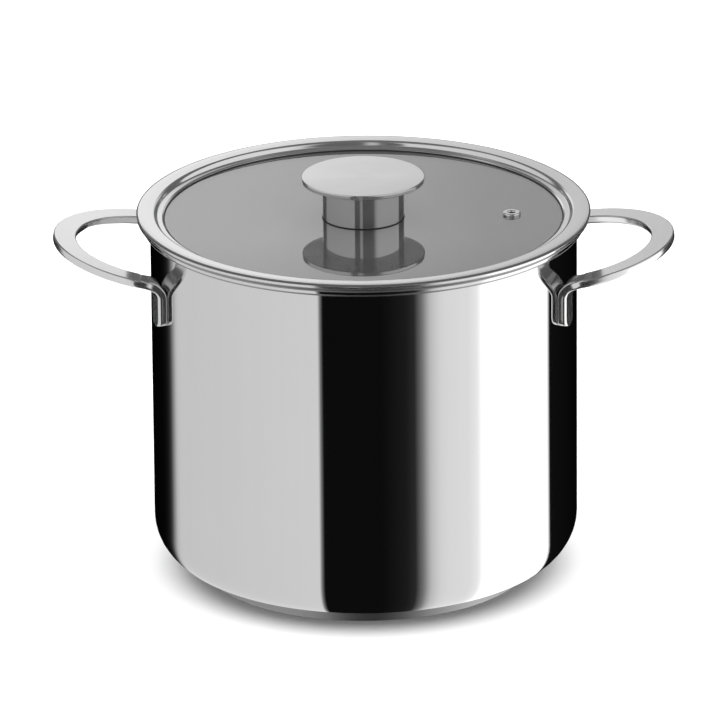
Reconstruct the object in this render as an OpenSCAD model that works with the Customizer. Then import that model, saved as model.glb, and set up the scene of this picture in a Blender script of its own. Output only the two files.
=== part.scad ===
// Water bath canner: a 24 cm stock pot in polished stainless steel, with a glass lid and a jar rack.
// Millimetres, +Z up. The origin is the middle of the base's underside, and the handles lie on X.

/* [Pot] */
// Outer radius of the wall
pot_r = 120.8; // [116:0.1:126]
// Thickness of the wall and bottom
pot_wall = 0.8; // [0.6:0.1:1.2]
// Height of the rim's top edge above the table
pot_h = 210.5; // [190:0.5:240]
// Outer radius of the bend from wall to bottom
pot_corner_r = 25; // [18:1:30]
// How far the rolled rim stands out from the wall
rim_out = 4.7; // [4:0.1:6]
// Height of the rolled rim
rim_h = 5.2; // [4.5:0.1:7]
// Radius of the rolled rim's edges
rim_edge_r = 1.6; // [1:0.1:2]

/* [Base] */
// Height of the heat-spreading base
base_h = 6.8; // [5:0.1:9]
// Thickness of the steel cap around the aluminium core
cap_wall = 0.8; // [0.5:0.1:1.2]
// Radius of the cap's lower edge
cap_edge_r = 1.8; // [1:0.1:2.5]

/* [Handles] */
// Width of the handle strap
strap_w = 13; // [11:0.1:15]
// Thickness of the handle strap
strap_t = 5; // [4:0.1:6]
// Radius of the strap's long edges
strap_edge_r = 1.3; // [0.8:0.1:1.8]
// Distance from the pot's axis to the loop's tip
loop_tip_x = 175.5; // [170:0.5:182]
// Height of the loop's top face at its tip
loop_tip_z = 200.2; // [180:0.1:205]
// Radius of the loop, along the middle of the strap
loop_r = 54.4; // [50:0.1:57]
// Upward slope of the loop, away from the pot
loop_tilt = 9.8; // [0:0.1:14]
// Angle round the pot from the handle's middle to each welded tab
tab_angle = 22; // [20:0.1:25]
// Height of the lower end of the tabs
tab_low_z = 160.2; // [140:0.1:165]
// Height at which the strap turns away from the wall
tab_high_z = 177.5; // [172:0.1:180]

/* [Lid] */
// Outer radius of the steel rim
lid_r = 128.45; // [127:0.05:132]
// Thickness of the folded rim
lid_flange_t = 2.4; // [2:0.1:3]
// Gap between the lid's rim and the pot's
lid_gap = 0.3; // [0.2:0.1:0.5]
// Inner radius of the rim's flat top
lid_flat_r = 118.8; // [117.5:0.1:120]
// Outer radius of the ledge around the glass
lid_ledge_r = 116.9; // [116:0.1:117.4]
// Inner radius of the ledge around the glass
lid_ledge_in_r = 113.5; // [112:0.1:115]
// Height of the glass's upper face
glass_z = 208.8; // [190:0.1:209.2]
// Thickness of the glass
glass_t = 4; // [3:0.1:5]
// Distance from the lid's axis to the steam vent
vent_x = 83.8; // [60:0.1:95]
// Angle of the steam vent round the lid
vent_angle = 1.5; // [0:0.5:360]
// Radius of the steam hole
vent_hole_r = 1.9; // [1.5:0.1:2.5]

/* [Knob] */
// Radius of the knob's top disc
knob_r = 34.8; // [28:0.1:40]
// Thickness of the knob's top disc
knob_disc_t = 2.6; // [2:0.1:4]
// Height of the knob's top
knob_top_z = 232.8; // [228:0.1:240]
// Outer radius of the knob's neck
neck_r = 23.2; // [18:0.1:26]

/* [Rack] */
// Radius of the outer ring, along the middle of its wire
rack_r = 104; // [98:0.5:108]
// Diameter of the frame wire
frame_wire_d = 4; // [3.5:0.1:4.5]
// Diameter of the wires that the jars stand on
shelf_wire_d = 3; // [2.5:0.1:3.5]
// Number of wires that the jars stand on
shelf_wires = 9; // [5:2:9]
// Distance between those wires
shelf_pitch = 20; // [14:1:20]
// Height of the frame wire's middle above the pot's floor
rack_lift = 12.4; // [10:0.1:20]
// Distance from the middle to each crossbar
crossbar_y = 45; // [40:1:55]
// Half of the width of a rack handle, between its legs' middles
bail_half_w = 25.5; // [20:0.5:27]
// Distance from the middle to a folded handle's grip
bail_tip_x = 8; // [6:0.5:20]

/* [Hidden] */
$fn = 96;

steel = [0.80, 0.80, 0.79];
satin_steel = [0.72, 0.72, 0.71];
rubber_black = [0.06, 0.06, 0.06];

pot_in_r = pot_r - pot_wall;
floor_z = base_h + pot_wall;
base_r = pot_r - pot_corner_r;
core_gap = 0.1;

flange_low_z = pot_h + lid_gap;
flange_top_z = flange_low_z + lid_flange_t;
sheet_t = 0.8;
seal_t = 0.5;
seal_in_r = lid_ledge_in_r - 1;
channel_r = lid_ledge_r + 1.1;
glass_r = channel_r - seal_t;
glass_low_z = glass_z - glass_t;
skirt_r = pot_in_r - 0.8;
ledge_z = glass_z + seal_t + sheet_t;
lip_low_z = glass_low_z - seal_t - sheet_t;

vent_flange_r = 5.15;
vent_flange_h = 1.7;
vent_barrel_r = 3.8;
vent_back_h = 0.7;

knob_low_z = knob_top_z - knob_disc_t;
gasket_t = 0.5;
neck_low_z = glass_z + gasket_t;
neck_wall = 1;
screw_r = 2.95;
thread_r = 3;
glass_bore_r = 4.5;
boss_r = 7;
boss_h = 10;
back_gasket_t = 1;
washer_t = 1;
screw_head_r = 6;
screw_head_h = 3;
washer_low_z = glass_low_z - back_gasket_t - washer_t;

frame_wire_r = frame_wire_d / 2;
shelf_wire_r = shelf_wire_d / 2;
weld = 0.3;
rack_z = floor_z + rack_lift;
shelf_z = rack_z + frame_wire_r + shelf_wire_r - weld;
shelf_top_z = shelf_z + shelf_wire_r;
foot_gap = 0.3;
foot_x = 70;
bail_z = shelf_top_z + frame_wire_r + 2;
eye_y = 30;
eye_w = 4;
eye_r = 4.3;
eye_bore_r = frame_wire_r + 0.06;
eye_x = sqrt(rack_r * rack_r - eye_y * eye_y);
bail_end_y = eye_y + eye_w / 2 + 2;
bail_bend_r = 10;

// ---- outlines for turned parts: x is the radius, y is the height ----

// Half section of a cup that stands at z0, with a round bend of radius c between floor and wall
module cup_section(r, c, z0, z1) {
    translate([0, z0]) square([r - c, c]);
    translate([0, z0 + c]) square([r, z1 - z0 - c]);
    intersection() {
        translate([r - c, z0 + c]) circle(c);
        translate([r - c, z0]) square(c);
    }
}

// Rectangle from (x0, y0) to (x1, y1) with all its corners rounded
module round_rect(x0, y0, x1, y1, r) {
    translate([x0 + r, y0]) square([x1 - x0 - 2 * r, y1 - y0]);
    translate([x0, y0 + r]) square([x1 - x0, y1 - y0 - 2 * r]);
    for (x = [x0 + r, x1 - r], y = [y0 + r, y1 - r]) translate([x, y]) circle(r);
}

// Flat ring with a square section
module ring(r_in, r_out, z0, z1) {
    translate([0, 0, z0]) difference() {
        cylinder(r = r_out, h = z1 - z0);
        translate([0, 0, -1]) cylinder(r = r_in, h = z1 - z0 + 2);
    }
}

// Straight wire between two points that share a height, along X or Y
module wire_y(x, y0, y1, z, r) {
    translate([x, y0, z]) rotate([-90, 0, 0]) cylinder(r = r, h = y1 - y0, $fn = 32);
}

module wire_x(x0, x1, y, z, r) {
    translate([x0, y, z]) rotate([0, 90, 0]) cylinder(r = r, h = x1 - x0, $fn = 32);
}

// ---- pot ----

module pot_shell() {
    rim_z = pot_h - rim_h;
    color(steel) rotate_extrude($fn = 180) {
        difference() {
            cup_section(pot_r, pot_corner_r, base_h, rim_z + rim_edge_r);
            cup_section(pot_in_r, pot_corner_r - pot_wall, floor_z, pot_h);
        }
        round_rect(pot_in_r, rim_z, pot_r + rim_out, pot_h, rim_edge_r);
        translate([pot_in_r, rim_z]) square([pot_wall, rim_h - rim_edge_r]);
    }
}

module base_core() {
    color(satin_steel) translate([0, 0, cap_wall])
        cylinder(r = base_r - cap_wall - core_gap, h = base_h - cap_wall, $fn = 180);
}

module base_cap() {
    color(satin_steel) rotate_extrude($fn = 180) difference() {
        cup_section(base_r, cap_edge_r, 0, base_h);
        translate([0, cap_wall]) square([base_r - cap_wall, base_h]);
    }
}

// ---- handles: one strap, swept along a path from one welded tab round the loop to the other ----

tilt_out = [cos(loop_tilt), 0, sin(loop_tilt)];
tilt_up = [-sin(loop_tilt), 0, cos(loop_tilt)];
loop_tip = [loop_tip_x, 0, loop_tip_z] - tilt_up * strap_t / 2;
loop_centre = loop_tip - tilt_out * (loop_r + strap_w / 2);
loop_end_angle = 78;
tab_r = pot_r + strap_t / 2 - 0.1;
tab_out = [cos(tab_angle), sin(tab_angle), 0];
tab_high = tab_out * tab_r + [0, 0, tab_high_z];
tab_end_r = 5;
bend_reach = 7.5;
loop_steps = 13;
bend_steps = 8;
end_steps = 4;

function unit(v) = v / norm(v);
function loop_point(a) = loop_centre + loop_r * (cos(a) * tilt_out + [0, sin(a), 0]);
function loop_way(a) = -sin(a) * tilt_out + [0, cos(a), 0];
bend_p0 = loop_point(loop_end_angle);
bend_p1 = bend_p0 + loop_way(loop_end_angle) * bend_reach;
bend_p2 = tab_high + [0, 0, bend_reach];
function bend_point(t) = pow(1 - t, 3) * bend_p0 + 3 * pow(1 - t, 2) * t * bend_p1
    + 3 * (1 - t) * t * t * bend_p2 + pow(t, 3) * tab_high;
function bend_way(t) = unit(pow(1 - t, 2) * (bend_p1 - bend_p0)
    + 2 * (1 - t) * t * (bend_p2 - bend_p1) + t * t * (tab_high - bend_p2));
function bend_face(t) = unit((1 - t) * tilt_up - t * tab_out);

// One station of the path: its point, its direction, the way its upper face looks, its width
loop_stations = [for (i = [0 : loop_steps]) let (a = loop_end_angle * i / loop_steps)
    [loop_point(a), loop_way(a), tilt_up, strap_w]];
bend_stations = [for (i = [1 : bend_steps]) let (t = i / bend_steps)
    [bend_point(t), bend_way(t), bend_face(t), strap_w]];
end_stations = [for (i = [0 : end_steps]) let (a = 90 * i / end_steps)
    [[tab_high[0], tab_high[1], tab_low_z + tab_end_r * (1 - sin(a))], [0, 0, -1], -tab_out,
     strap_w - 2 * tab_end_r * (1 - cos(a))]];
half_path = concat(loop_stations, bend_stations, end_stations);
half_count = len(half_path);
function mirror_y(v) = [v[0], -v[1], v[2]];
full_path = concat(
    [for (i = [half_count - 1 : -1 : 1]) let (s = half_path[i])
        [mirror_y(s[0]), -mirror_y(s[1]), mirror_y(s[2]), s[3]]],
    half_path);

// Outline of the strap, as [across the width, through the thickness], for a strap of width w
function strap_outline(w) = [for (k = [0 : 3], a = [0, 45, 90])
    let (sx = (k == 0 || k == 3) ? 1 : -1, sy = k < 2 ? 1 : -1, turn = 90 * k + a)
    [sx * (w / 2 - strap_edge_r) + strap_edge_r * cos(turn),
     sy * (strap_t / 2 - strap_edge_r) + strap_edge_r * sin(turn)]];
outline_count = len(strap_outline(strap_w));

function ring_points(s) = let (
    face = unit(s[2] - s[1] * (s[2] * s[1])),
    side = cross(face, s[1]))
    [for (q = strap_outline(max(s[3], 2 * strap_edge_r + 0.2))) s[0] + side * q[0] + face * q[1]];

module strap() {
    rings = len(full_path);
    n = outline_count;
    points = [for (s = full_path) each ring_points(s)];
    sides = [for (i = [0 : rings - 2], j = [0 : n - 1])
        let (a = i * n + j, b = i * n + (j + 1) % n)
        each [[a, b, b + n], [a, b + n, a + n]]];
    caps = [[for (j = [n - 1 : -1 : 0]) j], [for (j = [0 : n - 1]) (rings - 1) * n + j]];
    polyhedron(points, concat(sides, caps), convexity = 6);
}

module handle_right() {
    color(steel) strap();
}

module handle_left() {
    color(steel) rotate([0, 0, 180]) strap();
}

// ---- lid ----

module lid_rim() {
    hem_r = lid_flange_t / 2 - 0.05;
    color(steel) rotate_extrude($fn = 180) difference() {
        polygon([
            [lid_flat_r, flange_top_z], [lid_r, flange_top_z], [lid_r, flange_low_z],
            [skirt_r, flange_low_z], [skirt_r, lip_low_z + 0.4], [skirt_r - 0.4, lip_low_z],
            [lid_ledge_in_r, lip_low_z], [lid_ledge_in_r, lip_low_z + sheet_t],
            [channel_r, lip_low_z + sheet_t], [channel_r, glass_z + seal_t],
            [lid_ledge_in_r, glass_z + seal_t], [lid_ledge_in_r, ledge_z], [lid_ledge_r, ledge_z]
        ]);
        for (z = [flange_low_z, flange_top_z]) let (in = z == flange_low_z ? hem_r : -hem_r)
            difference() {
                translate([lid_r, z]) square(2 * hem_r, center = true);
                translate([lid_r - hem_r, z + in]) circle(hem_r);
            }
    }
}

module lid_glass() {
    color([0.7, 0.72, 0.72, 0.5]) difference() {
        translate([0, 0, glass_low_z]) cylinder(r = glass_r, h = glass_t, $fn = 180);
        translate([0, 0, glass_low_z - 1]) cylinder(r = glass_bore_r, h = glass_t + 2);
        rotate([0, 0, vent_angle]) translate([vent_x, 0, glass_low_z - 1])
            cylinder(r = vent_barrel_r, h = glass_t + 2);
    }
}

module glass_seal() {
    color(rubber_black) rotate_extrude($fn = 180) difference() {
        translate([seal_in_r, glass_low_z - seal_t])
            square([channel_r - seal_in_r, glass_t + 2 * seal_t]);
        translate([0, glass_low_z]) square([glass_r, glass_t]);
    }
}

module vent_eyelet() {
    color(steel) rotate([0, 0, vent_angle]) translate([vent_x, 0, 0]) rotate_extrude($fn = 64) {
        round_rect(vent_hole_r, glass_z, vent_flange_r, glass_z + vent_flange_h, 0.8);
        translate([vent_hole_r, glass_z]) square([vent_flange_r - vent_hole_r, 0.8]);
        translate([vent_hole_r, glass_low_z - vent_back_h])
            square([vent_barrel_r - vent_hole_r, glass_t + vent_back_h + 0.8]);
        translate([vent_hole_r, glass_low_z - vent_back_h])
            square([vent_flange_r - vent_hole_r, vent_back_h]);
    }
}

// ---- knob ----

module knob_disc() {
    spigot_r = neck_r - neck_wall - 0.1;
    color(satin_steel) rotate_extrude($fn = 128) {
        translate([0, knob_low_z]) square([knob_r - 0.5, knob_disc_t]);
        round_rect(knob_r - 4, knob_low_z, knob_r, knob_top_z, 0.5);
        translate([0, knob_low_z - 1.5]) square([spigot_r, 2]);
    }
}

module knob_neck() {
    color(steel) rotate_extrude($fn = 128) {
        translate([neck_r - neck_wall, neck_low_z]) square([neck_wall, knob_low_z - neck_low_z]);
        translate([thread_r + 0.3, neck_low_z]) square([neck_r - thread_r - 0.8, neck_wall]);
    }
}

module knob_boss() {
    color(satin_steel) ring(thread_r, boss_r, neck_low_z + neck_wall, neck_low_z + neck_wall + boss_h);
}

module knob_screw() {
    color(satin_steel) difference() {
        union() {
            translate([0, 0, washer_low_z - screw_head_h]) cylinder(r = screw_head_r, h = screw_head_h);
            translate([0, 0, washer_low_z - 0.5])
                cylinder(r = screw_r, h = neck_low_z + neck_wall + boss_h - 1 - washer_low_z);
        }
        translate([0, 0, washer_low_z - screw_head_h - 1]) cylinder(r = 2.3, h = 3, $fn = 6);
    }
}

module knob_washer() {
    color(steel) ring(screw_r + 0.25, 10, washer_low_z, washer_low_z + washer_t);
}

module knob_gasket_upper() {
    color(rubber_black) ring(glass_bore_r, neck_r + 0.2, glass_z, neck_low_z);
}

module knob_gasket_lower() {
    color(rubber_black) ring(screw_r + 0.25, 11, glass_low_z - back_gasket_t, glass_low_z);
}

// ---- rack ----

module rack_outer_ring() {
    color(satin_steel) rotate_extrude($fn = 128)
        translate([rack_r, rack_z]) circle(frame_wire_r, $fn = 32);
}

module rack_crossbars() {
    half = sqrt(rack_r * rack_r - crossbar_y * crossbar_y) - 1;
    color(satin_steel) for (y = [-crossbar_y, crossbar_y]) wire_x(-half, half, y, rack_z, frame_wire_r);
}

module rack_shelf_wires() {
    first = -shelf_pitch * (shelf_wires - 1) / 2;
    color(satin_steel) for (i = [0 : shelf_wires - 1]) let (x = first + i * shelf_pitch) {
        half = sqrt(rack_r * rack_r - x * x) + 1;
        wire_y(x, -half, half, shelf_z, shelf_wire_r);
    }
}

module rack_feet() {
    tip_z = floor_z + foot_gap + frame_wire_r;
    color(satin_steel) for (x = [-foot_x, foot_x], y = [-crossbar_y, crossbar_y]) translate([x, y, 0]) {
        translate([0, 0, tip_z]) sphere(frame_wire_r, $fn = 32);
        translate([0, 0, tip_z])
            cylinder(r = frame_wire_r, h = rack_z - frame_wire_r + weld - tip_z, $fn = 32);
    }
}

module rack_eyes() {
    color(satin_steel) for (x = [-eye_x, eye_x], y = [-eye_y, eye_y]) translate([x, y, 0]) {
        difference() {
            union() {
                translate([0, -eye_w / 2, bail_z]) rotate([-90, 0, 0]) cylinder(r = eye_r, h = eye_w);
                translate([-frame_wire_r, -eye_w / 2, rack_z + 1])
                    cube([2 * frame_wire_r, eye_w, bail_z - rack_z - 1]);
            }
            translate([0, -eye_w, bail_z]) rotate([-90, 0, 0])
                cylinder(r = eye_bore_r, h = 2 * eye_w);
        }
    }
}

// Folded handle of the right-hand side: two legs, a grip across their ends and two pivot ends
module bail() {
    bend_x = bail_tip_x + bail_bend_r;
    bend_y = bail_half_w - bail_bend_r;
    for (s = [-1, 1]) {
        wire_x(bend_x, eye_x, s * bail_half_w, bail_z, frame_wire_r);
        translate([eye_x, s * bail_half_w, bail_z]) sphere(frame_wire_r, $fn = 32);
        translate([bend_x, s * bend_y, bail_z]) rotate([0, 0, s > 0 ? 90 : 180])
            rotate_extrude(angle = 90, $fn = 64)
                translate([bail_bend_r, 0]) circle(frame_wire_r, $fn = 32);
    }
    wire_y(bail_tip_x, -bend_y, bend_y, bail_z, frame_wire_r);
    wire_y(eye_x, bail_half_w, bail_end_y, bail_z, frame_wire_r);
    wire_y(eye_x, -bail_end_y, -bail_half_w, bail_z, frame_wire_r);
}

module rack_handle_right() {
    color(satin_steel) bail();
}

module rack_handle_left() {
    color(satin_steel) rotate([0, 0, 180]) bail();
}

pot_shell();
base_core();
base_cap();
handle_left();
handle_right();
lid_rim();
lid_glass();
glass_seal();
vent_eyelet();
knob_disc();
knob_neck();
knob_boss();
knob_screw();
knob_washer();
knob_gasket_upper();
knob_gasket_lower();
rack_outer_ring();
rack_crossbars();
rack_shelf_wires();
rack_feet();
rack_eyes();
rack_handle_left();
rack_handle_right();
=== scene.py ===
import math

import bpy
from mathutils import Matrix, Vector


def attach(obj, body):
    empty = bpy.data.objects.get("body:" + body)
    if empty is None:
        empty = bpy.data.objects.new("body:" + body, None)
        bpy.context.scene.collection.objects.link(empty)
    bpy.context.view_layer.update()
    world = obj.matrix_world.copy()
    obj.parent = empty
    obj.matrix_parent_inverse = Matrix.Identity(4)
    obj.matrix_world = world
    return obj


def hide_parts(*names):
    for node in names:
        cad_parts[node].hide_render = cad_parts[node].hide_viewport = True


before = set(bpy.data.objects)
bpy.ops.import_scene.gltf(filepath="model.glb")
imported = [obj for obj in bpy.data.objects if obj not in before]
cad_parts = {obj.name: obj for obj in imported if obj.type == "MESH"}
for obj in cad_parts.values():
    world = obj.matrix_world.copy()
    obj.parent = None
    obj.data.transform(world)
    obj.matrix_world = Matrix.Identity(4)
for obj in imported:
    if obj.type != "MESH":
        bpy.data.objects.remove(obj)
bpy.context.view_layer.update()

MM = 0.001
scene = bpy.context.scene
scene.view_settings.view_transform = "Standard"

# ---------------------------------------------------------------- camera
CAM_DISTANCE = 5.000          # along the floor, from the pot's axis
CAM_HEIGHT = 1.97963
CAM_AZIMUTH = math.radians(1.3)
CAM_PITCH = 0.3557359         # downwards
CAM_ROLL = 0.0087504          # lifts the right side of the picture
CAM_SIDE_STEP = -0.00264      # sideways, so that the lens needs no shift
CAM_LENS = 468.81
CAM_SENSOR = 36.0


def link(obj):
    scene.collection.objects.link(obj)
    return obj


def make_camera():
    """A long lens, looking a little down on the pot from its front."""
    data = bpy.data.cameras.new("camera")
    data.lens = CAM_LENS
    data.sensor_width = CAM_SENSOR
    data.clip_end = 60.0
    camera = link(bpy.data.objects.new("camera", data))
    turn = Matrix.Rotation(CAM_AZIMUTH, 3, "Z")
    right = turn @ Vector((1, 0, 0))
    ahead = turn @ Vector((0, math.cos(CAM_PITCH), -math.sin(CAM_PITCH)))
    above = right.cross(ahead)
    roll_cos, roll_sin = math.cos(CAM_ROLL), math.sin(CAM_ROLL)
    roll_right = right * roll_cos - above * roll_sin
    roll_up = right * roll_sin + above * roll_cos
    place = turn @ Vector((0, -CAM_DISTANCE, CAM_HEIGHT)) + right * CAM_SIDE_STEP
    axes = Matrix((roll_right, roll_up, -ahead)).transposed()
    camera.matrix_world = Matrix.Translation(place) @ axes.to_4x4()
    scene.camera = camera


make_camera()


# ---------------------------------------------------------------- node helper
class Nodes:
    """Adds nodes to an emptied tree; every call gives back a socket that the next call can take."""

    def __init__(self, tree):
        self.tree = tree
        tree.nodes.clear()

    def add(self, kind, inputs=(), out=0, **settings):
        node = self.tree.nodes.new("ShaderNode" + kind)
        for name, value in settings.items():
            setattr(node, name, value)
        pairs = inputs.items() if isinstance(inputs, dict) else enumerate(inputs)
        for key, value in pairs:
            if isinstance(value, bpy.types.NodeSocket):
                self.tree.links.new(value, node.inputs[key])
            elif value is not None:
                node.inputs[key].default_value = value
        return node.outputs[out] if node.outputs else None

    def math(self, operation, *inputs):
        return self.add("Math", inputs, operation=operation)

    def mix(self, share, low, high):
        return self.add("Mix", {0: share, 2: low, 3: high})

    def smooth(self, value, start, end, low=0.0, high=1.0):
        return self.add("MapRange", [value, start, end, low, high],
                        interpolation_type="SMOOTHSTEP")

    def spread(self, value, start, end, low, high):
        return self.add("MapRange", [value, start, end, low, high])

    def grey(self, value, stops):
        """A ramp of greys through (place, level) stops."""
        output = self.add("ValToRGB", [value])
        ramp = output.node.color_ramp
        while len(ramp.elements) < len(stops):
            ramp.elements.new(1.0)
        for element, (place, level) in zip(ramp.elements, stops):
            element.position = place
        for element, (place, level) in zip(ramp.elements, stops):
            element.color = (level, level, level, 1.0)
        return output

    def xyz(self, vector):
        output = self.add("SeparateXYZ", [vector])
        return [output.node.outputs[i] for i in range(3)]


# ---------------------------------------------------------------- studio
# Soft boxes and black flags that stand round the pot:
# angle to the right of the camera, in degrees, and brightness
STUDIO_ROUND = [
    # black behind on the left, then the left soft box with its soft outer edge
    (-180, 0.0), (-143, 0.002), (-137, 0.006), (-133.4, 0.02), (-130.8, 0.07), (-128.2, 0.25),
    (-125.8, 0.48), (-123.6, 0.66), (-121, 0.73), (-118, 0.75), (-25.2, 0.84), (-24.5, 0.82),
    # the black flag in front, hard on its left and soft on its right
    (-23.7, 0.005), (9, 0.005), (14, 0.008), (22, 0.014), (27, 0.030), (31.2, 0.235),
    # the right soft box, brightest at the side, and black behind it
    (35.6, 0.68), (41, 0.89), (46, 0.95), (58, 0.99), (63, 1.12), (68, 1.7), (113, 1.6),
    (117.6, 1.45), (118.8, 0.006), (180, 0.0),
]
STUDIO_PEAK = 2.0             # the brightest that the ramp of the bands can hold
HORIZON = 0.12                # the bands change into the upper studio between -HORIZON and HORIZON
UPPER_SHARE = 0.86            # of the bands' light, above the horizon
UPPER_LIFT = 0.10             # stray light above the horizon
UPPER_PEAK = 0.92             # no more light than this comes from above the horizon
SLOT_LIGHT = 0.62             # a light slot above the horizon, between these angles
SLOT_LEFT = (math.radians(-11), math.radians(-8))
SLOT_RIGHT = (math.radians(-3.5), math.radians(-0.5))
CEILING = 0.12
CEILING_EDGE = (0.80, 0.94)   # sine of the height where the ceiling takes over


def make_world():
    """Bands of light and black, upright all the way down, with a plainer and dimmer studio above them."""
    world = bpy.data.worlds.new("studio")
    scene.world = world
    world.use_nodes = True
    n = Nodes(world.node_tree)
    way = n.add("TexCoord")
    x, y, z = n.xyz(n.add("Mapping", {"Vector": way, "Rotation": (0, 0, -CAM_AZIMUTH)}))
    level = n.math("ARCTAN2", x, n.math("MULTIPLY", y, -1.0))
    # steeper down than the lens looks, the bands bend with the pot's lower corner
    half_y = n.math("SUBTRACT", math.cos(CAM_PITCH), y)
    steep = n.math("MULTIPLY", n.math("ARCTAN2", x, half_y), 2.0)
    angle = n.mix(n.math("LESS_THAN", z, -math.sin(CAM_PITCH)), level, steep)
    share = n.math("FRACT", n.math("ADD", n.math("DIVIDE", angle, 2 * math.pi), 0.5))
    stops = [(degrees / 360 + 0.5, light / STUDIO_PEAK) for degrees, light in STUDIO_ROUND]
    bands = n.math("MULTIPLY", n.grey(share, stops), STUDIO_PEAK)
    upper = n.math("ADD", n.math("MULTIPLY", bands, UPPER_SHARE), UPPER_LIFT)
    upper = n.math("MINIMUM", upper, UPPER_PEAK)
    slot = n.math("MULTIPLY", n.smooth(level, *SLOT_LEFT), n.smooth(level, *SLOT_RIGHT, 1.0, 0.0))
    upper = n.mix(slot, upper, SLOT_LIGHT)
    light = n.mix(n.smooth(z, -HORIZON, HORIZON), bands, upper)
    light = n.mix(n.smooth(z, *CEILING_EDGE), light, CEILING)
    n.add("OutputWorld", [n.add("Background", {"Color": light})])


make_world()


def plane(name, corners):
    mesh = bpy.data.meshes.new(name)
    mesh.from_pydata(corners, [], [(0, 1, 2, 3)])
    return link(bpy.data.objects.new(name, mesh))


FLOOR_HALF = 20.0
PAPER_WHITE = (0.9, 0.9, 0.9, 1.0)


def make_floor():
    """Plain white paper; the polished steel sees the studio and not the paper."""
    half = FLOOR_HALF
    floor = plane("floor", [(-half, -half, 0), (half, -half, 0), (half, half, 0), (-half, half, 0)])
    material = bpy.data.materials.new("floor_paper")
    material.use_nodes = True
    n = Nodes(material.node_tree)
    n.add("OutputMaterial", [n.add("BsdfDiffuse", {"Color": PAPER_WHITE})])
    floor.data.materials.append(material)
    floor.visible_glossy = False


CARD_AWAY = 0.75              # behind the pot's axis
CARD_HALF = 0.34              # half its width
CARD_LOW, CARD_HIGH = 0.34, 0.64
CARD_FADE = 0.2               # it dims across the middle, this far to the left and right
CARD_LIGHT = 1.08


def make_card():
    """A bright card behind the pot, which the lid's flat faces mirror. It dims to the right and upwards."""
    left, right = -CARD_HALF, CARD_HALF
    card = plane("backdrop_card", [(left, CARD_AWAY, CARD_LOW), (right, CARD_AWAY, CARD_LOW),
                                   (right, CARD_AWAY, CARD_HIGH), (left, CARD_AWAY, CARD_HIGH)])
    card.rotation_euler = (0, 0, CAM_AZIMUTH)
    material = bpy.data.materials.new("backdrop_card")
    material.use_nodes = True
    n = Nodes(material.node_tree)
    x, y, z = n.xyz(n.add("TexCoord", out=3))
    across = n.grey(n.spread(x, -CARD_FADE, CARD_FADE, 0.0, 1.0),
                    [(0.0, 1.0), (0.2, 0.98), (0.35, 0.94), (0.5, 0.84), (0.7, 0.67), (1.0, 0.60)])
    upwards = n.grey(n.spread(z, CARD_LOW, CARD_HIGH, 0.0, 1.0),
                     [(0.0, 0.3), (0.12, 0.9), (0.2, 1.0), (0.5, 1.0), (0.58, 0.92), (0.64, 0.74),
                      (0.72, 0.50), (0.85, 0.25), (1.0, 0.12)])
    light = n.math("MULTIPLY", n.math("MULTIPLY", across, upwards), CARD_LIGHT)
    n.add("OutputMaterial", [n.add("Emission", [light])])
    card.data.materials.append(material)
    card.visible_camera = card.visible_diffuse = card.visible_shadow = False


OVERHEAD_ENERGY = 4.6
OVERHEAD_ANGLE = math.radians(95)


def make_overhead_light():
    """One very wide soft light from above, which draws the pot's contact shadow."""
    data = bpy.data.lights.new("overhead", "SUN")
    data.energy = OVERHEAD_ENERGY
    data.angle = OVERHEAD_ANGLE
    light = link(bpy.data.objects.new("overhead", data))
    light.visible_glossy = False
    light.visible_camera = False


make_floor()
make_card()
make_overhead_light()


# ---------------------------------------------------------------- materials
BUMP_DEPTH = 0.0001
GLASS_HAZE = 0.03             # share of the glass's look that is dull


def new_material(name):
    material = bpy.data.materials.new(name)
    material.use_nodes = True
    return material, Nodes(material.node_tree)


def finish_steel(material, n, tone, dark, marks, place, cloud_scale, rough, rough_spread, bump, metal):
    """Ends a steel: marks are its grain or rings, and a soft cloud varies the polish between them."""
    cloud = n.add("TexNoise", {"Vector": place, "Scale": cloud_scale, "Detail": 3.0})
    both = n.math("MULTIPLY", n.math("ADD", marks, cloud), 0.5)
    colour = n.grey(both, [(0.3, tone * dark), (0.7, tone)])
    roughness = n.spread(both, 0.35, 0.65, rough, rough + rough_spread)
    normal = n.add("Bump", {"Strength": bump, "Distance": BUMP_DEPTH, "Height": marks})
    shader = n.add("BsdfPrincipled", {"Base Color": colour, "Metallic": metal,
                                      "Roughness": roughness, "Normal": normal})
    n.add("OutputMaterial", [shader])
    return material


def steel(name, tone, rough, rough_spread, grain, grain_scale, bump, metal=1.0):
    """Steel with a grain: grain scales the noise along each axis, so lines run where it is small."""
    material, n = new_material(name)
    place = n.add("TexCoord", out=3)
    lines = n.add("TexNoise", {"Vector": n.add("Mapping", {"Vector": place, "Scale": grain}),
                               "Scale": grain_scale, "Detail": 4.0, "Roughness": 0.6})
    return finish_steel(material, n, tone, 0.97, lines, place, 14.0, rough, rough_spread, bump, metal)


def turned_steel(name, tone, rough, rough_spread, ring_scale, bump, metal=1.0):
    """Steel with fine rings round the Z axis, as a turned or circularly ground face has."""
    material, n = new_material(name)
    place = n.add("TexCoord", out=3)
    x, y, z = n.xyz(place)
    radius = n.math("SQRT", n.math("ADD", n.math("MULTIPLY", x, x), n.math("MULTIPLY", y, y)))
    rings = n.add("TexNoise", {"W": n.math("MULTIPLY", radius, ring_scale), "Scale": 1.0, "Detail": 3.0},
                  noise_dimensions="1D")
    return finish_steel(material, n, tone, 0.96, rings, place, 25.0, rough, rough_spread, bump, metal)


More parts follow.
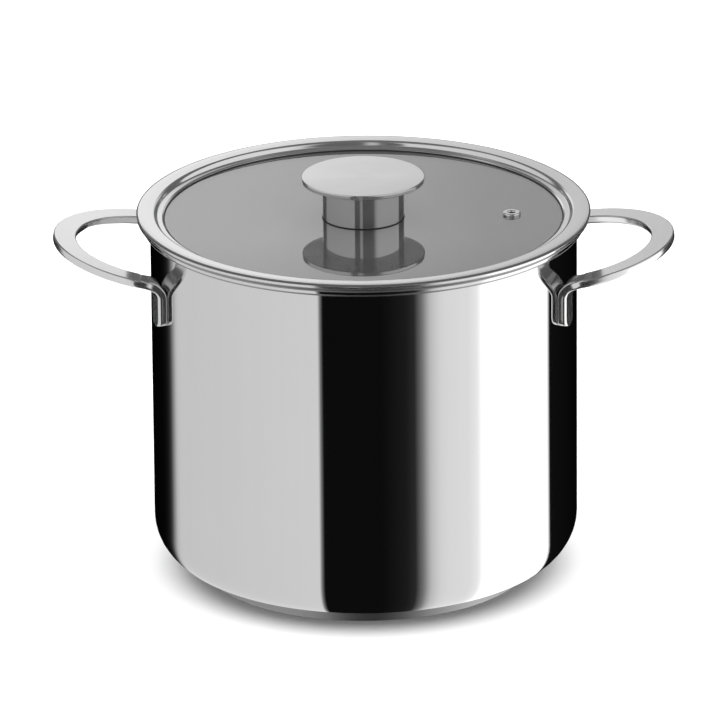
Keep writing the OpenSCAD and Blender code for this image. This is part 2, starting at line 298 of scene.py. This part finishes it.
def lid_glass(name):
    """Grey tempered glass: mirrors strongly at a low angle, lets little through, and has a faint haze."""
    material, n = new_material(name)
    place = n.add("TexCoord", out=3)
    cloud = n.add("TexNoise", {"Vector": place, "Scale": 9.0, "Detail": 2.0})
    tint = n.grey(cloud, [(0.3, 0.20), (0.7, 0.24)])
    haze = n.grey(cloud, [(0.3, 0.80), (0.7, 0.86)])
    clear = n.add("BsdfPrincipled", {"Base Color": tint, "Transmission Weight": 1.0, "IOR": 1.85,
                                     "Roughness": 0.0, "Coat Weight": 0.7, "Coat Roughness": 0.0})
    milky = n.add("BsdfDiffuse", {"Color": haze})
    n.add("OutputMaterial", [n.add("MixShader", [GLASS_HAZE, clear, milky])])
    return material


def rubber(name):
    material, n = new_material(name)
    place = n.add("TexCoord", out=3)
    cloud = n.add("TexNoise", {"Vector": place, "Scale": 900.0, "Detail": 2.0})
    shader = n.add("BsdfPrincipled", {"Base Color": n.grey(cloud, [(0.3, 0.012), (0.7, 0.02)]),
                                      "Roughness": n.spread(cloud, 0.3, 0.7, 0.45, 0.6)})
    n.add("OutputMaterial", [shader])
    return material


WALL_STEEL = steel("wall_steel", 0.72, 0.025, 0.02, (1, 1, 0.02), 160.0, 0.0)
LID_STEEL = turned_steel("lid_steel", 0.72, 0.09, 0.04, 9000.0, 0.05, 0.95)
# darker satin steel: its low tone is painted shade for the lid's underside, the flange's outer edge and the
# pot's rim under the lid
SHADED_SATIN_EDGE = turned_steel("shaded_satin_edge", 0.40, 0.40, 0.08, 9000.0, 0.1)
STRAP_STEEL = steel("strap_steel", 0.74, 0.13, 0.05, (1, 0.3, 1), 500.0, 0.1, 0.95)
NECK_STEEL = steel("neck_steel", 0.70, 0.05, 0.03, (1, 1, 12), 300.0, 0.05, 0.95)
FINISH = {
    "polished_steel": WALL_STEEL,
    "brushed_knob_steel": turned_steel("knob_steel", 0.76, 0.13, 0.05, 12000.0, 0.1, 0.95),
    # the base's low tone is painted shade, standing in for the shadow round its foot
    "base_steel": turned_steel("base_steel", 0.34, 0.35, 0.08, 6000.0, 0.3),
    "plain_steel": steel("fixing_steel", 0.60, 0.28, 0.06, (1, 1, 1), 600.0, 0.2),
    "rack_wire": steel("rack_wire", 0.66, 0.10, 0.06, (1, 1, 1), 500.0, 0.1),
    "core_aluminium": turned_steel("core_aluminium", 0.60, 0.4, 0.08, 5000.0, 0.3),
    "tempered_glass": lid_glass("tempered_glass"),
    "black_silicone": rubber("black_silicone"),
}
OWN_FINISH = {"knob_neck": NECK_STEEL, "vent_eyelet": LID_STEEL}

for name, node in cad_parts.items():
    for slot in node.material_slots:
        slot.material = OWN_FINISH.get(name) or FINISH[slot.material.name.split(".")[0]]


# ---------------------------------------------------------------- mesh helpers
SEGMENTS = 256                # round a turned piece


def new_piece(name, points, normals, faces, material, body, slot, *nodes):
    """A smooth mesh with its true surface normals, in the place of one or more CAD nodes."""
    mesh = bpy.data.meshes.new(name)
    mesh.from_pydata(points, [], faces)
    mesh.shade_smooth()
    mesh.normals_split_custom_set_from_vertices(normals)
    mesh.materials.append(material)
    piece = link(bpy.data.objects.new(name, mesh))
    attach(piece, body)
    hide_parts(*nodes)
    return piece


def rounded(corners, closed, steps=7):
    """Points and outward normals along an outline of (radius, height, fillet) corners, in mm.

    The outline runs anticlockwise, with the radius to the right and the height upwards."""
    spots = [Vector(corner[:2]) for corner in corners]
    outline = []
    for i, (spot, corner) in enumerate(zip(spots, corners)):
        if not closed and i in (0, len(spots) - 1):
            along = (spots[1] - spots[0]) if i == 0 else (spots[-1] - spots[-2])
            along.normalize()
            outline.append((spot, Vector((along.y, -along.x))))
            continue
        before = (spot - spots[i - 1]).normalized()
        after = (spots[(i + 1) % len(spots)] - spot).normalized()
        turn = before.angle_signed(after)          # clockwise is positive in mathutils
        reach = corner[2] * math.tan(abs(turn) / 2)
        start = spot - before * reach
        side = Vector((before.y, -before.x))       # outward, before the corner
        inward = 1.0 if turn > 0 else -1.0         # a clockwise turn is a hollow corner
        centre = start + side * corner[2] * inward
        for k in range(steps + 1):
            normal = side.copy()
            normal.rotate(Matrix.Rotation(-turn * k / steps, 2))
            outline.append((centre - normal * corner[2] * inward, normal))
    return outline


def lathe(name, outline, closed, material, body, slot, *nodes):
    """Turns an outline round Z. Ends on the axis become a single point."""
    points, normals, rings = [], [], []
    for spot, normal in outline:
        if spot.x < 1e-6:
            rings.append([len(points)] * SEGMENTS)
            points.append((0, 0, spot.y * MM))
            normals.append((normal.x, 0, normal.y))
            continue
        rings.append(list(range(len(points), len(points) + SEGMENTS)))
        for k in range(SEGMENTS):
            a = 2 * math.pi * k / SEGMENTS
            c, s = math.cos(a), math.sin(a)
            points.append((spot.x * c * MM, spot.x * s * MM, spot.y * MM))
            normals.append((normal.x * c, normal.x * s, normal.y))
    faces = []
    for i in range(len(rings) if closed else len(rings) - 1):
        low, high = rings[i], rings[(i + 1) % len(rings)]
        for k in range(SEGMENTS):
            j = (k + 1) % SEGMENTS
            face = [low[k], low[j], high[j], high[k]]
            faces.append(list(dict.fromkeys(face)))
    return new_piece(name, points, normals, faces, material, body, slot, *nodes)


EDGE_LEAN = 0.2               # a face whose normal leans more than this up or down is part of an edge, and gets the painted shade


def paint_shaded_edges(piece, is_shaded):
    """Gives the darker satin steel, whose low tone is painted shade, to the faces that the test picks by
    normal and centre.
    """
    piece.data.materials.append(SHADED_SATIN_EDGE)
    for polygon in piece.data.polygons:
        polygon.material_index = int(is_shaded(polygon.normal, polygon.center))


# ---------------------------------------------------------------- pot wall with its rolled rim
POT_R, WALL_T, CORNER_R = 120.8, 0.8, 25.0
BASE_H = 6.8
POT_IN_R, FLOOR_Z = POT_R - WALL_T, BASE_H + WALL_T
RIM_LOW, RIM_TOP, RIM_R = 205.3, 210.5, 125.5
RIM_FLARE_R = 122.6           # the rim's underside slopes out to here

pot_outline = rounded([
    (0, BASE_H, 0), (POT_R, BASE_H, CORNER_R), (POT_R, RIM_LOW + 0.7, 0.12),
    (RIM_FLARE_R, RIM_LOW, 0.9), (RIM_R, RIM_LOW, 1.7), (RIM_R, RIM_TOP, 2.7),
    (POT_IN_R, RIM_TOP, 1.6), (POT_IN_R, FLOOR_Z, CORNER_R - WALL_T), (0, FLOOR_Z, 0),
], closed=False, steps=10)
pot_wall = lathe("pot_wall", pot_outline, False, WALL_STEEL, "pot", "polished_steel", "pot_shell")
# the rim's top and underside get the darker satin steel: painted shade where the lid covers the rim and
# under its rolled edge
paint_shaded_edges(pot_wall, lambda way, place: place.z > (RIM_LOW - 1) * MM and abs(way.z) > EDGE_LEAN)

# ---------------------------------------------------------------- lid rim
LID_R, LID_TOP, LID_LOW = 128.45, 213.2, 210.8
CURL_LOW, CURL_R = 210.0, 126.0        # the rolled edge hangs down outside the pot's rim
FLAT_R = 123.9                         # the flange is flat outside this, and dips a little inside
LEDGE_R, LEDGE_IN_R, LEDGE_TOP = 116.8, 113.9, 210.4
LIP_R, LIP_LOW, SKIRT_R = 113.8, 203.5, 119.3
GLASS_SEAT_R, GLASS_SEAT_LOW, GLASS_SEAT_HIGH = 117.9, 204.3, 209.3
DARK_EDGE_W = 0.9                           # width of the flange's outer edge whose darker satin steel is a painted dark hairline
lid_outline = rounded([
    # up the outer edge and in over the flange
    (LID_R, CURL_LOW, 1.6), (LID_R, LID_TOP - 0.52, 0.6), (LID_R - 1.28, LID_TOP, 4.9),
    (FLAT_R, LID_TOP, 40.0), (LEDGE_R + 1.2, LID_TOP - 0.27, 2.2),
    # the ledge round the glass
    (LEDGE_R, LEDGE_TOP, 0.8), (LEDGE_IN_R, LEDGE_TOP - 0.35, 0.5),
    (LEDGE_IN_R - 1.1, GLASS_SEAT_HIGH, 0.12),
    # the channel that holds the glass and its seal
    (GLASS_SEAT_R, GLASS_SEAT_HIGH, 0.1), (GLASS_SEAT_R, GLASS_SEAT_LOW, 0.1),
    (LIP_R, GLASS_SEAT_LOW, 0.1), (LIP_R, LIP_LOW, 0.1),
    # up the skirt and out under the flange
    (SKIRT_R, LIP_LOW, 0.4), (SKIRT_R, LID_LOW, 0.3), (CURL_R, LID_LOW, 0.2),
    (CURL_R + 0.2, CURL_LOW, 0.3),
], closed=True)
lid_ring = lathe("lid_ring", lid_outline, True, LID_STEEL, "lid", "polished_steel", "lid_rim")
# the flange's underside and a thin ring at its outer top edge get the darker satin steel: painted shade
# under the flange and a painted dark hairline round its edge
paint_shaded_edges(lid_ring, lambda way, place: way.z < -EDGE_LEAN
           or way.z > 0.4 and place.xy.length > (LID_R - DARK_EDGE_W) * MM)

# ---------------------------------------------------------------- handles
STRAP_W, STRAP_T = 13.0, 5.0
STRAP_EDGE_HIGH, STRAP_EDGE_LOW = 1.0, 2.2     # radii of its upper and lower edges
LOOP_TIP = (175.5, 200.2)                      # outermost point of the right handle
LOOP_R, LOOP_TILT, LOOP_END = 54.4, math.radians(9.8), math.radians(78)
TAB_ANGLE, TAB_LOW, TAB_HIGH, TAB_END_R = math.radians(22), 160.2, 177.5, 5.0
TAB_WELD = 0.1                                 # how far the tab sinks into the wall
BEND_REACH = 7.5                               # how long the bend holds on to its end directions
LOOP_STEPS, BEND_STEPS, END_STEPS, EDGE_STEPS = 40, 30, 10, 6


def strap_stations():
    """Places along the right handle: point, direction, the way its upper face looks, end angle.

    The end angle is 0 along the strap, and runs to a quarter turn round each tab's rounded end."""
    out = Vector((math.cos(LOOP_TILT), 0, math.sin(LOOP_TILT)))
    up = Vector((-math.sin(LOOP_TILT), 0, math.cos(LOOP_TILT)))
    centre = Vector((LOOP_TIP[0], 0, LOOP_TIP[1])) - up * STRAP_T / 2 - out * (LOOP_R + STRAP_W / 2)
    side = Vector((0, 1, 0))
    tab_out = Vector((math.cos(TAB_ANGLE), math.sin(TAB_ANGLE), 0))
    tab_high = tab_out * (POT_R + STRAP_T / 2 - TAB_WELD) + Vector((0, 0, TAB_HIGH))

    def on_loop(a):
        return (centre + (out * math.cos(a) + side * math.sin(a)) * LOOP_R,
                side * math.cos(a) - out * math.sin(a))

    half = [(*on_loop(LOOP_END * i / LOOP_STEPS), up, 0.0) for i in range(LOOP_STEPS + 1)]
    p0, way = on_loop(LOOP_END)
    p1, p2, p3 = p0 + way * BEND_REACH, tab_high + Vector((0, 0, BEND_REACH)), tab_high
    for i in range(1, BEND_STEPS + 1):
        t = i / BEND_STEPS
        s = 1 - t
        point = p0 * s**3 + p1 * (3 * s * s * t) + p2 * (3 * s * t * t) + p3 * t**3
        along = (p1 - p0) * s * s + (p2 - p1) * (2 * s * t) + (p3 - p2) * t * t
        half.append((point, along.normalized(), (up * s - tab_out * t).normalized(), 0.0))
    down = Vector((0, 0, -1))
    for i in range(END_STEPS + 1):
        a = math.pi / 2 * i / END_STEPS
        point = Vector((tab_high.x, tab_high.y, TAB_LOW + TAB_END_R * (1 - math.sin(a))))
        half.append((point, down, -tab_out, a))

    def mirrored(v):
        return Vector((v.x, -v.y, v.z))

    back = [(mirrored(p), -mirrored(w), mirrored(f), -a) for p, w, f, a in half[:0:-1]]
    return back + half


def strap_mesh(turn):
    """Sweeps the strap's rounded section along its stations; turn is about Z."""
    points, normals, faces = [], [], []
    spin = Matrix.Rotation(turn, 3, "Z")
    for point, way, face, end in strap_stations():
        face = (face - way * face.dot(way)).normalized()
        side = face.cross(way)
        width = STRAP_W - 2 * TAB_END_R * (1 - math.cos(end))
        for k in range(4):
            edge = min(STRAP_EDGE_HIGH if k < 2 else STRAP_EDGE_LOW, width / 2 - 0.05)
            sx = 1 if k in (0, 3) else -1
            sy = 1 if k < 2 else -1
            for q in range(EDGE_STEPS + 1):
                a = math.pi / 2 * (k + q / EDGE_STEPS)
                c, s = math.cos(a), math.sin(a)
                across = sx * (width / 2 - edge) + edge * c
                through = sy * (STRAP_T / 2 - edge) + edge * s
                points.append(spin @ ((point + side * across + face * through) * MM))
                lean = abs(math.sin(end)) * (1 if c > 0 else -1) * (1 if end > 0 else -1)
                edge_way = side * math.cos(end) + way * lean
                normals.append(spin @ (edge_way * c + face * s).normalized())
    count = 4 * (EDGE_STEPS + 1)
    rings = len(points) // count
    for i in range(rings - 1):
        for j in range(count):
            a, b = i * count + j, i * count + (j + 1) % count
            faces.append((a, b, b + count, a + count))
    faces.append(tuple(range(count - 1, -1, -1)))
    faces.append(tuple(range((rings - 1) * count, rings * count)))
    return points, normals, faces


new_piece("strap_right", *strap_mesh(0.0), STRAP_STEEL, "pot", "polished_steel", "handle_right")
new_piece("strap_left", *strap_mesh(math.pi), STRAP_STEEL, "pot", "polished_steel", "handle_left")
